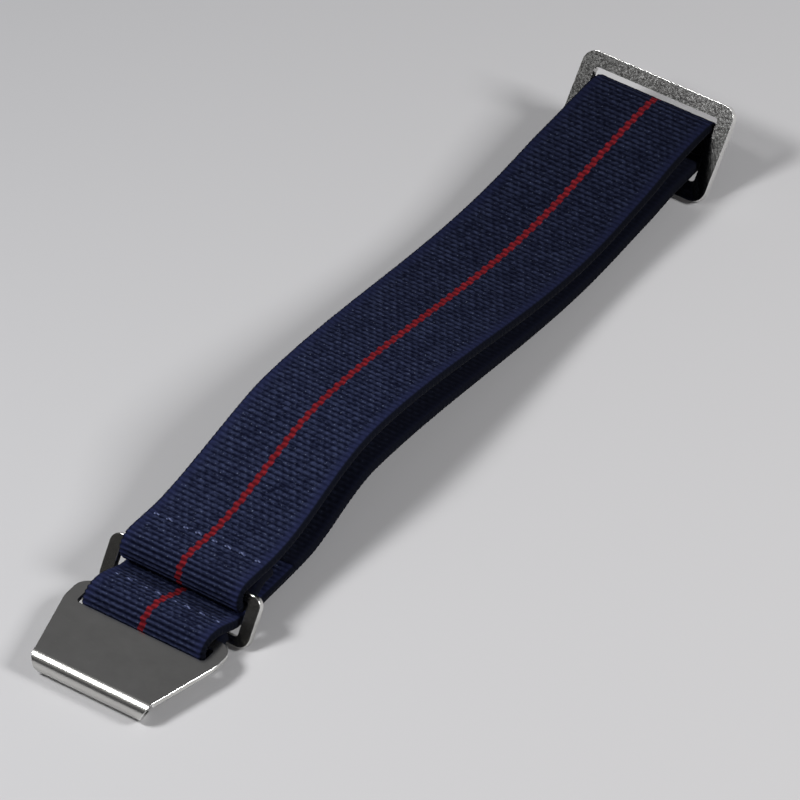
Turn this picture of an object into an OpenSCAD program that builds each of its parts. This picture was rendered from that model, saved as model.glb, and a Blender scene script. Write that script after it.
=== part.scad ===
// Stretch watch band, lying as it was put down, with its worn-out side up.
// One long strip of woven elastic is doubled: its ends are sewn round a hook plate
// and round an adjuster loop, and its middle is folded round the bar of a frame.
// Millimetres. X runs across the band, Y from the hook to the frame, Z up.
// The elastic is drawn as short lengths, each split where the band bends or stretches.

/* [Elastic] */
// Width of the woven elastic
elastic_w = 20; // [18:0.5:22]
// Thickness of one layer of elastic
elastic_t = 1.55; // [1.4:0.05:1.6]
// Room between the edge of the elastic and the metal beside it
side_room = 0.45; // [0.3:0.05:0.8]
// Room between the elastic and the metal above or below it
soft_gap = 0.2; // [0.15:0.05:0.3]
// Radius in the corners of the windows that the elastic passes through
window_corner_r = 0.5; // [0.3:0.1:0.7]

/* [Hook plate] */
// Thickness of the pressed sheet
hook_t = 0.8; // [0.7:0.05:0.9]
// Inside radius of the rolled front edge
curl_r = 0.9; // [0.8:0.05:1]
// Width across the top of the rolled edge
curl_w = 19.4; // [17:0.1:20]
// Width of the lip where the roll ends
lip_w = 16.4; // [14:0.1:17]
// Length of the flat lip under the roll
lip_l = 0.8; // [0.5:0.1:1.2]
// Width of the metal on each side of the slot
hook_arm_w = 2.05; // [1.8:0.05:2.6]
// Distance from the front of the roll to the slot
hook_face_l = 12.1; // [11:0.1:13]
// Width of the bar that the elastic is looped round
hook_bar_w = 1.9; // [1.6:0.1:2]
// Radius of the two rear corners
hook_corner_r = 2.2; // [1:0.1:2.4]
// Radius where the tapered sides run into the straight sides of the slot
hook_shoulder_r = 6; // [1:0.5:8]

/* [Loops of elastic] */
// Inside radius of the loop round the hook plate's bar
hook_loop_r = 0.95; // [0.9:0.05:1.1]
// Free space in front of the hook plate's bar, inside its loop
hook_bar_room = 0.8; // [0.6:0.05:1]
// Inside radius of the loop round the adjuster's bar
adjuster_loop_r = 0.95; // [0.95:0.05:1.05]
// Inside radius of the fold round the frame's middle bar
frame_loop_r = 1.75; // [1.7:0.05:1.9]
// How far the frame's fold lies behind the bar inside it
frame_loop_slack = 0.8; // [0.5:0.1:1.2]

/* [Tab] */
// Distance from the hook plate's loop to the adjuster's loop, centre to centre
tab_l = 8.6; // [8.4:0.1:10]
// Distance from the hook plate's loop to the end of the ply sewn under the tab
tab_under_l = 3.9; // [3.7:0.1:4]
// How far the tab can be drawn out of the adjuster
tab_travel = 7; // [3:0.5:7]
// Length of tab that stays inside the band when it is drawn out
tab_hold = 1.5; // [1:0.25:2]

/* [Adjuster loop] */
// Thickness of the adjuster's sheet
adjuster_t = 1.1; // [0.9:0.05:1.1]
// Height of the adjuster along its own face
adjuster_l = 7.6; // [7.6:0.1:8.2]
// Angle of the adjuster from the table
adjuster_lean = 57; // [56:1:62]
// Width of the bar that the sewn end is looped round
adjuster_top_bar_w = 1.2; // [1:0.05:1.2]
// Width of the bar that the tab runs over
adjuster_low_bar_w = 1.3; // [1:0.05:1.3]
// Width of the metal beside the window
adjuster_arm_w = 1.95; // [1.5:0.05:2.5]
// Radius of the adjuster's corners
adjuster_corner_r = 1.6; // [0.8:0.1:2]

/* [Frame] */
// Width of the frame
frame_w = 25.5; // [24.5:0.1:28]
// Thickness of the frame's plate
frame_t = 1.2; // [1:0.05:1.2]
// Angle of the frame from the table
frame_lean = 51; // [49:1:53]
// Height of the frame along its own face
frame_l = 14.6; // [14.4:0.1:15.2]
// Width of the top bar, which the hook catches
frame_top_bar_w = 2.15; // [1.8:0.05:2.2]
// Width of the middle bar, which the elastic is folded round
frame_mid_bar_w = 2.6; // [2.2:0.1:2.6]
// Width of the bottom bar
frame_low_bar_w = 2.7; // [2.2:0.1:2.7]
// Distance from the frame's lower edge to the centre of its middle bar
frame_mid_bar_at = 7.8; // [7.7:0.05:7.9]
// Radius of the frame's outer corners
frame_corner_r = 2; // [1:0.1:2.2]

/* [Band profile] */
// Distance from the adjuster's bar to the frame's middle bar
run_l = 112.8; // [108:0.1:120]
// Distance from the adjuster's bar to the crest of the arch
crest_at = 31.3; // [29:0.1:34]
// Height of the upper face at the crest
crest_top = 13.2; // [12.6:0.1:14]
// Height of the under face at the crest
crest_under = 5.6; // [4.5:0.1:6]
// Length of the lower layer that stays level past the end of the tab
level_l = 3; // [2:0.5:5]
// Distance from the frame's middle bar at which the lower layer is level again
frame_level_l = 4.8; // [3:0.1:6]
// Distance from the adjuster's bar to the low point of the band
sag_at = 83.3; // [78:0.1:86]
// Height of the upper face at the low point
sag_top = 7.6; // [7.2:0.1:8.4]
// Height of the under face at the low point
sag_under = 2.2; // [1.6:0.1:2.6]

/* [Sewing] */
// Diameter of the thread
thread_d = 0.4; // [0.3:0.05:0.5]
// Diameter of the thread where it is drawn tight through the plies
thread_tight_d = 0.3; // [0.2:0.05:0.3]
// How far the thread stands proud of the elastic
thread_proud = 0.3; // [0.2:0.05:0.3]
// Distance between the starts of two stitches
stitch_pitch = 2.4; // [2:0.1:3]
// Length of a stitch where it shows
stitch_l = 1.3; // [1:0.1:1.6]
// Distance from the adjuster's bar to the seam of the sewn end
seam_at = 4.4; // [4.2:0.1:4.8]
// Distance from the seam to the end of the ply sewn under it
seam_flap = 1.4; // [1:0.1:2]
// Length over which the plies lie together in front of a seam
seam_hold = 0.5; // [0.3:0.1:0.7]
// Distance from the hook plate's loop to the seam of the tab
tab_seam_at = 3.5; // [3.4:0.05:3.6]

/* [Bending and stretching] */
// Slit between two lengths at a bend, where they meet in the lower layer
bend_slit = 0.2; // [0.15:0.05:0.3]
// Angle that each bend can turn upwards, away from the wrist
bend_up = 8; // [4:0.5:9]
// Angle that each bend can turn downwards, round the wrist
bend_down = 25; // [10:1:25]
// Slit between two lengths at a place that stretches
stretch_slit = 0.1; // [0.08:0.01:0.2]
// Distance from the adjuster's bar to the first bend
first_bend_at = 12.4; // [12.2:0.1:13]
// Distance from the last bend to the frame's middle bar
last_bend_from_bar = 5.6; // [5.4:0.1:7]

/* [Hidden] */
$fn = 48;
LENGTHS = 20; // separate lengths in each layer, between the sewn end and the frame's fold

navy = [0.10, 0.12, 0.24];
thread_blue = [0.55, 0.6, 0.75];
dark_satin = [0.42, 0.42, 0.41];
tumbled = [0.6, 0.59, 0.57];

corner_steps = 8;   // facets in a quarter of a rounded corner
face_steps = 4;     // facets along one length of elastic
long_steps = 12;    // facets along a long curved ply
cut = 1;            // how far a cutting shape passes a face

// Hook plate and its loop
curl_out = curl_r + hook_t;
hook_top = 2 * curl_out;
hook_mid = hook_top - hook_t / 2;
hook_loop_out = hook_loop_r + elastic_t;
hook_loop_y = hook_face_l + soft_gap + hook_loop_out;
hook_bar_front = hook_loop_y - hook_loop_r + hook_bar_room;
hook_bar_y = hook_bar_front + hook_bar_w / 2;
hook_end = hook_bar_front + hook_bar_w;
window_w = elastic_w + 2 * side_room;
hook_w = window_w + 2 * hook_arm_w;

// Adjuster: the point where its middle plane meets its foot, and its bar
adjuster_loop_out = adjuster_loop_r + elastic_t;
adjuster_bar_y = hook_loop_y + tab_l;
adjuster_bar_s = adjuster_l - adjuster_top_bar_w / 2;
adjuster_foot = foot_of_plate(adjuster_bar_y, adjuster_bar_s, adjuster_lean, adjuster_t);
adjuster_bar_z = on_plate(adjuster_foot, adjuster_lean, adjuster_bar_s, 0)[1];
adjuster_w = window_w + 2 * adjuster_arm_w;

// The tab runs level through the adjuster, over its low bar
run_under = on_plate(adjuster_foot, adjuster_lean, adjuster_low_bar_w, adjuster_t / 2)[1] + soft_gap;
lap_y = adjuster_bar_y + adjuster_loop_out - soft_gap;
lap_end = lap_y + tab_travel + tab_hold;

// Frame
frame_bar_y = adjuster_bar_y + run_l;
frame_foot = foot_of_plate(frame_bar_y, frame_mid_bar_at, frame_lean, frame_t);
frame_bar_z = on_plate(frame_foot, frame_lean, frame_mid_bar_at, 0)[1];
frame_loop_out = frame_loop_r + elastic_t;
frame_loop_y = frame_bar_y + frame_loop_slack;
overall_l = on_plate(frame_foot, frame_lean, frame_l, -frame_t / 2)[0];

// Places where the band bends (odd) and stretches (even), counted from the sewn end
first_bend = adjuster_bar_y + first_bend_at;
last_bend = frame_bar_y - last_bend_from_bar;
function split_y(i) = first_bend + (last_bend - first_bend) * (i - 1) / LENGTHS;
function bends(i) = i % 2 == 1;

// A bend turns about a line in the middle of the lower layer. The lengths stop short of their
// split by enough to turn: the further from that line, the more.
function axis_z(i) = height(split_y(i), lower_under) + elastic_t / 2;
function room_to_turn(rise) = rise > 0 ? rise * tan(bend_up / 2) : -rise * tan(bend_down / 2);
function short_of(i, z) =
    bends(i) ? bend_slit / 2 + room_to_turn(z - axis_z(i)) : stretch_slit / 2;

// Heights of the faces along the band, as [y, z] stations that ease into each other
upper_top = [
    [adjuster_bar_y, adjuster_bar_z + adjuster_loop_out],
    [adjuster_bar_y + seam_at + seam_flap, adjuster_bar_z + adjuster_loop_out - soft_gap],
    [adjuster_bar_y + crest_at, crest_top],
    [adjuster_bar_y + sag_at, sag_top],
    [frame_loop_y, frame_bar_z + frame_loop_out]];
lower_under = [
    [lap_end, run_under],
    [lap_end + level_l, run_under],
    [adjuster_bar_y + crest_at, crest_under],
    [adjuster_bar_y + sag_at, sag_under],
    [frame_bar_y - frame_level_l, frame_bar_z - frame_loop_out],
    [frame_loop_y, frame_bar_z - frame_loop_out]];
tab_top = [
    [hook_loop_y, hook_mid + hook_loop_out],
    [hook_bar_y, hook_mid + hook_loop_out],
    [adjuster_bar_y - adjuster_loop_r, run_under + elastic_t]];
tab_under_top = [
    [hook_loop_y, hook_mid - hook_loop_r],
    [hook_bar_y, hook_mid - hook_loop_r],
    [hook_loop_y + tab_under_l, height(hook_loop_y + tab_under_l, tab_top) - elastic_t]];
flap_under = [
    [adjuster_bar_y, adjuster_bar_z - adjuster_loop_out],
    [adjuster_bar_y + seam_at, adjuster_bar_z + adjuster_loop_r - elastic_t - soft_gap]];

function ease(t) = let (u = min(max(t, 0), 1)) u * u * (3 - 2 * u);
function height(y, at, i = 0) =
    i >= len(at) - 2 || y < at[i + 1][0]
    ? at[i][1] + (at[i + 1][1] - at[i][1]) * ease((y - at[i][0]) / (at[i + 1][0] - at[i][0]))
    : height(y, at, i + 1);

// A leaning plate stands on its lower edge: a point s up its face and off its middle plane
function on_plate(foot, lean, s, off) =
    [foot[0] + s * cos(lean) - off * sin(lean), foot[1] + s * sin(lean) + off * cos(lean)];
function foot_of_plate(bar_y, bar_s, lean, t) = [bar_y - bar_s * cos(lean), t / 2 * cos(lean)];

// Points of a face from y = a to y = b, at a height taken from stations and shifted by dz
function face(a, b, at, dz, steps) =
    [for (i = [0 : steps]) let (y = a + (b - a) * i / steps) [y, height(y, at) + dz]];
function reversed(points) = [for (i = [len(points) - 1 : -1 : 0]) points[i]];

// A convex outline from [x, y, radius] in anticlockwise order: a corner of radius 0 stays sharp
function unit(v) = v / norm(v);
function rounded_corner(before, at, after) =
    let (p = [at[0], at[1]],
         u = unit([before[0], before[1]] - p),
         v = unit([after[0], after[1]] - p),
         half = acos(u * v) / 2,
         centre = p + unit(u + v) * at[2] / sin(half),
         start = p + u * at[2] / tan(half) - centre,
         from = atan2(start[1], start[0]))
    [for (i = [0 : corner_steps])
        let (a = from + (180 - 2 * half) * i / corner_steps)
        centre + at[2] * [cos(a), sin(a)]];
function rounded(c) =
    [for (i = [0 : len(c) - 1]) each
        c[i][2] == 0
        ? [[c[i][0], c[i][1]]]
        : rounded_corner(c[(i + len(c) - 1) % len(c)], c[i], c[(i + 1) % len(c)])];
function rounded_box(w, low, high, r) =
    rounded([[-w / 2, low, r], [w / 2, low, r], [w / 2, high, r], [-w / 2, high, r]]);

// The whole band is measured from the front of the hook plate, then centred on the origin
module placed() {
    translate([0, -overall_l / 2, 0]) children();
}

// A side view (y, z) drawn across the band, w wide
module across(w) {
    rotate([90, 0, 90]) linear_extrude(w, center = true) children();
}

module bar_across(y, z, r, w) {
    translate([0, y, z]) rotate([0, 90, 0]) cylinder(r = r, h = w, center = true);
}

// A plate whose face (x, s) leans back from its foot
module leaning(foot, lean, t) {
    translate([0, foot[0], foot[1]])
        rotate([lean, 0, 0])
            linear_extrude(t, center = true) children();
}

module hook_plate() {
    color(dark_satin) placed() difference() {
        union() {
            translate([0, 0, hook_top - hook_t]) linear_extrude(hook_t) difference() {
                polygon(rounded([
                    [-curl_w / 2, curl_out, 0],
                    [curl_w / 2, curl_out, 0],
                    [hook_w / 2, hook_face_l, hook_shoulder_r],
                    [hook_w / 2, hook_end, hook_corner_r],
                    [-hook_w / 2, hook_end, hook_corner_r],
                    [-hook_w / 2, hook_face_l, hook_shoulder_r]]));
                polygon(rounded_box(window_w, hook_face_l, hook_bar_front, window_corner_r));
            }
            rolled_edge();
        }
        bar_across(curl_out, curl_out, curl_r, curl_w + cut);
    }
}

// Half a tube across the front, and the lip: its ends run inward as the sheet turns under
module rolled_edge() {
    intersection() {
        union() {
            intersection() {
                bar_across(curl_out, curl_out, curl_out, curl_w);
                translate([-curl_w / 2, 0, 0]) cube([curl_w, curl_out, hook_top]);
            }
            translate([-curl_w / 2, curl_out, 0]) cube([curl_w, lip_l, hook_t]);
        }
        translate([0, hook_face_l, 0]) rotate([90, 0, 0]) linear_extrude(hook_face_l)
            polygon([[-lip_w / 2, 0], [lip_w / 2, 0],
                     [curl_w / 2, hook_top], [-curl_w / 2, hook_top]]);
    }
}

module tab_elastic() {
    under_end = hook_loop_y + tab_under_l;
    closed_at = hook_loop_y + tab_seam_at - seam_hold;
    tail_under = run_under + elastic_t / 2 + stretch_slit / 2;
    color(navy) placed() difference() {
        union() {
            across(elastic_w) polygon(concat(
                face(hook_loop_y, lap_y, tab_top, 0, long_steps),
                [[lap_end, run_under + elastic_t],
                 [lap_end, tail_under],
                 [lap_y, tail_under],
                 [lap_y - stretch_slit, run_under]],
                reversed(face(under_end, lap_y - soft_gap, tab_top, -elastic_t, long_steps)),
                [[under_end, height(under_end, tab_under_top) - elastic_t]],
                reversed(face(hook_loop_y, under_end, tab_under_top, -elastic_t, face_steps))));
            bar_across(hook_loop_y, hook_mid, hook_loop_out, elastic_w);
        }
        bar_across(hook_loop_y, hook_mid, hook_loop_r, elastic_w + cut);
        across(elastic_w + cut) polygon(concat(
            face(hook_loop_y, closed_at, tab_top, -elastic_t, face_steps),
            reversed(face(hook_loop_y, closed_at, tab_under_top, 0, face_steps))));
    }
}

module adjuster_loop() {
    color(tumbled) placed() leaning(adjuster_foot, adjuster_lean, adjuster_t) difference() {
        polygon(rounded_box(adjuster_w, 0, adjuster_l, adjuster_corner_r));
        polygon(rounded_box(window_w, adjuster_low_bar_w, adjuster_l - adjuster_top_bar_w, window_corner_r));
    }
}

module sewn_end_elastic() {
    flap_end = adjuster_bar_y + seam_at + seam_flap;
    closed_at = adjuster_bar_y + seam_at - seam_hold;
    top_z = height(split_y(1), upper_top);
    color(navy) placed() difference() {
        union() {
            across(elastic_w) polygon(concat(
                face(adjuster_bar_y, split_y(1) - short_of(1, top_z), upper_top, 0, long_steps),
                reversed(face(flap_end, split_y(1) - short_of(1, top_z - elastic_t),
                              upper_top, -elastic_t, face_steps)),
                reversed(face(adjuster_bar_y, flap_end, flap_under, 0, long_steps))));
            bar_across(adjuster_bar_y, adjuster_bar_z, adjuster_loop_out, elastic_w);
        }
        bar_across(adjuster_bar_y, adjuster_bar_z, adjuster_loop_r, elastic_w + cut);
        across(elastic_w + cut) polygon(concat(
            face(adjuster_bar_y, closed_at, upper_top, -elastic_t, face_steps),
            reversed(face(adjuster_bar_y, closed_at, flap_under, elastic_t, face_steps))));
    }
}

// One length of a layer between two splits: at gives one of its faces, dz shifts it to the top
module length_of_elastic(i, at, dz) {
    a = split_y(i - 1);
    b = split_y(i);
    top_a = height(a, at) + dz;
    top_b = height(b, at) + dz;
    across(elastic_w) polygon(concat(
        face(a + short_of(i - 1, top_a), b - short_of(i, top_b), at, dz, face_steps),
        reversed(face(a + short_of(i - 1, top_a - elastic_t), b - short_of(i, top_b - elastic_t),
                      at, dz - elastic_t, face_steps))));
}

module upper_run(i) {
    color(navy) placed() length_of_elastic(i, upper_top, 0);
}

module lower_run(i) {
    color(navy) placed() length_of_elastic(i, lower_under, elastic_t);
}

// The first lower length is halved under the tab's tail, so that the tail can slide on it
module lower_run_1() {
    middle = run_under + elastic_t / 2 - stretch_slit / 2;
    top = run_under + elastic_t;
    color(navy) placed() across(elastic_w) polygon([
        [lap_y + stretch_slit, run_under],
        [split_y(1) - short_of(1, run_under), run_under],
        [split_y(1) - short_of(1, top), top],
        [lap_end + soft_gap, top],
        [lap_end + soft_gap, middle],
        [lap_y + stretch_slit, middle]]);
}

module frame_fold_elastic() {
    a = split_y(LENGTHS + 1);
    top_z = height(a, upper_top);
    under_z = height(a, lower_under);
    color(navy) placed() difference() {
        union() {
            across(elastic_w) polygon(concat(
                face(a + short_of(LENGTHS + 1, top_z), frame_loop_y, upper_top, 0, face_steps),
                reversed(face(a + short_of(LENGTHS + 1, under_z), frame_loop_y,
                              lower_under, 0, face_steps))));
            bar_across(frame_loop_y, frame_bar_z, frame_loop_out, elastic_w);
        }
        bar_across(frame_loop_y, frame_bar_z, frame_loop_r, elastic_w + cut);
        across(elastic_w + cut) polygon(concat(
            face(a - cut, frame_loop_y, upper_top, -elastic_t, face_steps),
            reversed(face(a - cut, frame_loop_y, lower_under, elastic_t, face_steps))));
    }
}

module frame_plate() {
    mid_low = frame_mid_bar_at - frame_mid_bar_w / 2;
    mid_high = frame_mid_bar_at + frame_mid_bar_w / 2;
    color(tumbled) placed() leaning(frame_foot, frame_lean, frame_t) difference() {
        polygon(rounded_box(frame_w, 0, frame_l, frame_corner_r));
        polygon(rounded_box(window_w, frame_low_bar_w, mid_low, window_corner_r));
        polygon(rounded_box(window_w, mid_high, frame_l - frame_top_bar_w, window_corner_r));
    }
}

// A row of stitches across the band: thread on top, down through both plies, along and up
module seam(y, at, plies_t) {
    count = floor((elastic_w - stitch_l) / stitch_pitch);
    first = -(count * stitch_pitch + stitch_l) / 2;
    top = height(y, at) + thread_proud - thread_d / 2;
    bottom = height(y, at) - plies_t - thread_proud + thread_d / 2;
    color(thread_blue) placed() for (i = [0 : count]) {
        x = first + i * stitch_pitch;
        thread_along(y, top, x, x + stitch_l);
        thread_down(x, y, bottom, top);
        thread_down(x + stitch_l, y, bottom, top);
        if (i < count) thread_along(y, bottom, x + stitch_l, x + stitch_pitch);
    }
}

module thread_along(y, z, x0, x1) {
    translate([x0 - thread_d / 2, y, z]) rotate([0, 90, 0]) cylinder(d = thread_d, h = x1 - x0 + thread_d);
}

module thread_down(x, y, z0, z1) {
    translate([x, y, z0]) cylinder(d = thread_tight_d, h = z1 - z0);
}

hook_plate();
tab_elastic();
seam(hook_loop_y + tab_seam_at, tab_top, 2 * elastic_t);  // tab_seam_thread
adjuster_loop();
sewn_end_elastic();
seam(adjuster_bar_y + seam_at, upper_top, 2 * elastic_t);  // sewn_end_seam_thread
lower_run_1();
frame_fold_elastic();
frame_plate();
for (i = [2 : LENGTHS + 1]) upper_run(i);
for (i = [2 : LENGTHS + 1]) lower_run(i);
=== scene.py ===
# %% [markdown]
# # A stretch watch band
# The band is one strip of ribbed elastic, doubled and closed by three pieces of steel:
# a hook plate, an adjuster loop and a frame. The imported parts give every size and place,
# so the lesson starts by loading them. What is made below stands where they stand.

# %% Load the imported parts
import math
import bmesh
import bpy
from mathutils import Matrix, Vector


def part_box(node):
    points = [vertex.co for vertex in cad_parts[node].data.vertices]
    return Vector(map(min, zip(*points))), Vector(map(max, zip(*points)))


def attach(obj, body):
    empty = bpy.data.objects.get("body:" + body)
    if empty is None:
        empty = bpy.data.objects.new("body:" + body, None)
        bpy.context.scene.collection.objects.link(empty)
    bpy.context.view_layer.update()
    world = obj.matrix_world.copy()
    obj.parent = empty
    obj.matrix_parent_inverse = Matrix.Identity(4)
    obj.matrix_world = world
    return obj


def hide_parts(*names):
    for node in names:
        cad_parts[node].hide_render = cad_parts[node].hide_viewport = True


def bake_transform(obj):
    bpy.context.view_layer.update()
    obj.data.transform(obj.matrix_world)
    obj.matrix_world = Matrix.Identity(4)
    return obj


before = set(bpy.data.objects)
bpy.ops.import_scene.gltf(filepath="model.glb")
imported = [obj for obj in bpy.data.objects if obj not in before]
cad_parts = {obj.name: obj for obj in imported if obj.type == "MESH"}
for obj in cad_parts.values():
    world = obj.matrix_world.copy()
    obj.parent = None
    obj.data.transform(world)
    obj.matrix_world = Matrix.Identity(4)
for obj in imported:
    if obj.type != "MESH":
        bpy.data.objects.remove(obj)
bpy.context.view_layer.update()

MM = 0.001

# %% [markdown]
# ## Measuring from the hook
# A maker measures this band from the front of its hook, so every distance below is
# written that way, in millimetres, and one helper turns it into a point of the scene.

# %% A point of the scene
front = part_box("hook_plate")[0].y


def place(x, y, z):
    return Vector((x * MM, front + y * MM, z * MM))


print("front of the hook at y", round(front / MM, 3))

# %% [markdown]
# ## Sums written as sums
# Node trees are mostly arithmetic. They could be wired by hand, node by node, but then a
# formula fills a page. A small class that stands for a node's output lets the formula be
# written as a formula, and each operator adds its Math node.

# %% Wires between nodes
def join(tree, value, into):
    """Leads a wire into a socket, or sets the socket to a plain value."""
    if isinstance(value, Wire):
        tree.links.new(value.socket, into)
    else:
        into.default_value = value


class Wire:
    """A node's output."""

    def __init__(self, tree, socket):
        self.tree, self.socket = tree, socket

    def math(self, operation, *others, first=None):
        node = self.tree.nodes.new("ShaderNodeMath")
        node.operation = operation
        terms = (self, *others) if first is None else (first, self)
        for into, value in zip(node.inputs, terms):
            join(self.tree, value, into)
        return Wire(self.tree, node.outputs[0])

    def other(self, name):
        """Another output of the same node."""
        return Wire(self.tree, self.socket.node.outputs[name])

    def held(self, top=1.0):
        """Kept between 0 and a highest value."""
        return self.math("MAXIMUM", 0.0).math("MINIMUM", top)

    def __add__(self, value):
        return self.math("ADD", value)

    def __sub__(self, value):
        return self.math("SUBTRACT", value)

    def __rsub__(self, value):
        return self.math("SUBTRACT", first=value)

    def __mul__(self, value):
        return self.math("MULTIPLY", value)

    def __truediv__(self, value):
        return self.math("DIVIDE", value)


# %% Adding a node
def put(tree, kind, inputs=None, out=None, **settings):
    """A new node with its inputs led in, given back as the wire of one output."""
    node = tree.nodes.new(kind)
    for key, value in settings.items():
        setattr(node, key, value)
    for key, value in (inputs or {}).items():
        named = [s for s in node.inputs if s.name == key and s.enabled]
        join(tree, value, node.inputs[key] if isinstance(key, int) else named[0])
    outs = [s for s in node.outputs if s.enabled]
    return Wire(tree, outs[0] if out is None else next(s for s in outs if s.name == out))


def vector(tree, x, y, z):
    return put(tree, "ShaderNodeCombineXYZ", {"X": x, "Y": y, "Z": z})


def on_vectors(operation, a, b):
    return put(a.tree, "ShaderNodeVectorMath", {0: a, 1: b}, "Vector", operation=operation)


def scaled(a, amount):
    return put(a.tree, "ShaderNodeVectorMath", {0: a, "Scale": amount}, "Vector", operation="SCALE")


def facing(tree, direction, reference):
    """How far a direction points along a fixed one."""
    return put(tree, "ShaderNodeVectorMath", {0: direction, 1: reference}, "Value",
               operation="DOT_PRODUCT")


# %% [markdown]
# ## A tree and its named inputs
# Each repeating thing is one Geometry Nodes tree. Its sizes are inputs with names, and
# they are set on the modifier by the socket's identifier. The result is then turned into
# a plain mesh, because a finished piece keeps no live tree.

# %% Starting and ending a tree
def new_tree(name, inputs):
    tree = bpy.data.node_groups.new(name, "GeometryNodeTree")
    tree.interface.new_socket("Geometry", in_out="OUTPUT", socket_type="NodeSocketGeometry")
    tree.interface.new_socket("Geometry", in_out="INPUT", socket_type="NodeSocketGeometry")
    for label, kind in inputs.items():
        tree.interface.new_socket(label, in_out="INPUT", socket_type="NodeSocket" + kind)
    given = tree.nodes.new("NodeGroupInput")
    return tree, {s.name: Wire(tree, s) for s in given.outputs if s.name}


def end_tree(tree, geometry, material):
    real = put(tree, "GeometryNodeRealizeInstances", {"Geometry": geometry})
    dressed = put(tree, "GeometryNodeSetMaterial", {"Geometry": real, "Material": material})
    join(tree, dressed, tree.nodes.new("NodeGroupOutput").inputs[0])
    print(tree.name, len(tree.nodes), "nodes")


# %% Using a tree
QUAD = 4


def new_object(name, mesh):
    made = bpy.data.objects.new(name, mesh)
    bpy.context.scene.collection.objects.link(made)
    return made


def grow(name, base, tree, sizes):
    """Runs a tree on a base mesh and gives back a plain object with outward faces."""
    helper = new_object(name + "_tree", base)
    live = helper.modifiers.new(tree.name, "NODES")
    live.node_group = tree
    for item in tree.interface.items_tree:
        if item.in_out == "INPUT" and item.name in sizes:
            live[item.identifier] = sizes[item.name]
    ready = helper.evaluated_get(bpy.context.evaluated_depsgraph_get())
    mesh = bpy.data.meshes.new_from_object(ready)
    bpy.data.objects.remove(helper)
    shape = bmesh.new()
    shape.from_mesh(mesh)
    bmesh.ops.recalc_face_normals(shape, faces=shape.faces)
    for cap in (f for f in shape.faces if len(f.verts) > QUAD):
        cap.smooth = False
        for edge in cap.edges:
            edge.smooth = False
    shape.to_mesh(mesh)
    shape.free()
    return new_object(name, mesh)


# %% [markdown]
# ## Colours
# Colours are read off a screen as numbers up to 255, but a shader works in linear light.
# Converting them in one place keeps each finish readable. A number that is the same all
# over a surface goes straight on the shader's own socket.

# %% Screen colours and plain numbers for a shader
def paint(*screen):
    linear = [c / 255 / 12.92 if c < 10 else ((c / 255 + 0.055) / 1.055) ** 2.4 for c in screen]
    return (*linear, 1.0)


def new_finish(name, **plain):
    """A new material, with the numbers that are the same all over its surface."""
    finish = bpy.data.materials.new(name)
    finish.use_nodes = True
    skin = finish.node_tree.nodes["Principled BSDF"]
    for label, value in plain.items():
        skin.inputs[label.replace("_", " ")].default_value = value
    return finish, finish.node_tree, skin


def mixed(tree, amount, a, b):
    return put(tree, "ShaderNodeMix", {0: amount, 6: a, 7: b}, "Result", data_type="RGBA")


print("half of the screen's white is", round(paint(127.5)[0], 3), "in linear light")

# %% [markdown]
# ## The woven elastic's finish
# The weave has a rib every 0.87 mm along the strip. On each rib the yarn shows as short
# dashes that lie across the strip, two yarns wide, and the next rib's dashes are shifted by
# half a dash, like bricks, with a thin strand of each bridging the groove to the next. The
# dash in the middle is red, so the red line steps a little from side to side. The shader
# could use an image, but the strip carries its own coordinates instead: x across it, the
# count of ribs along it, and how much it is looped. Where it loops, the ribs stand open and
# the dashes close up. The same formula that shapes the dashes then colours them.

# %% Sizes of the weave
ELASTIC_W = 20.0
ELASTIC_T = 1.55
YARNS = 32
EDGE_W = 0.5
YARN = (ELASTIC_W - 2 * EDGE_W) / YARNS
RIB = 0.87
SELVAGE = 1.25
print("yarn pitch", round(YARN, 3), "mm, rib pitch", RIB, "mm")

# %% Dashes laid like bricks
DASH_YARNS = 2.0
STRAND_TAPER, STRAND_HEIGHT = 5.0, 0.3
DASH_BLUNTNESS = 0.3


def dashes_of(across, along):
    """The rib and the dash that a point is in, and how high it lies there, from 0 to 1."""
    rib = along.math("FLOOR")
    shifted = (across + rib.math("FLOORED_MODULO", 2.0) - 0.5) / DASH_YARNS
    ridge = (along * math.pi).math("SINE").math("ABSOLUTE")
    centred = (shifted * math.pi).math("COSINE").math("ABSOLUTE")
    between = (shifted * math.pi).math("SINE").math("ABSOLUTE")
    later = (along - rib).math("GREATER_THAN", 0.5)
    strand = (later * centred + (1.0 - later) * between).math("POWER", STRAND_TAPER)
    bridge = strand * (1.0 - ridge)
    crown = ridge + bridge * STRAND_HEIGHT
    broad = centred.math("POWER", DASH_BLUNTNESS)
    return rib, shifted.math("ROUND"), crown, broad + (1.0 - broad) * bridge


# %% Colours of the yarns
NAVY_DEEP, NAVY_PALE, NAVY_SPECK = paint(4, 7, 27), paint(54, 61, 90), paint(120, 130, 156)
EDGE_DEEP, EDGE_PALE, EDGE_WALL_SHADE = paint(22, 26, 50), paint(43, 49, 84), paint(12, 15, 26)
RED_DEEP, RED_PALE = paint(78, 13, 20), paint(135, 34, 43)
# The last two colours are painted shade: one for the back of the cloth between the layers, one for
# the darkening towards the fold.
BACK_SHADE_COLOUR, PAINTED_SHADE_BLACK = paint(16, 18, 28), paint(0, 0, 0)
print("palest navy in linear light", [round(c, 3) for c in NAVY_PALE[:3]])

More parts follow.
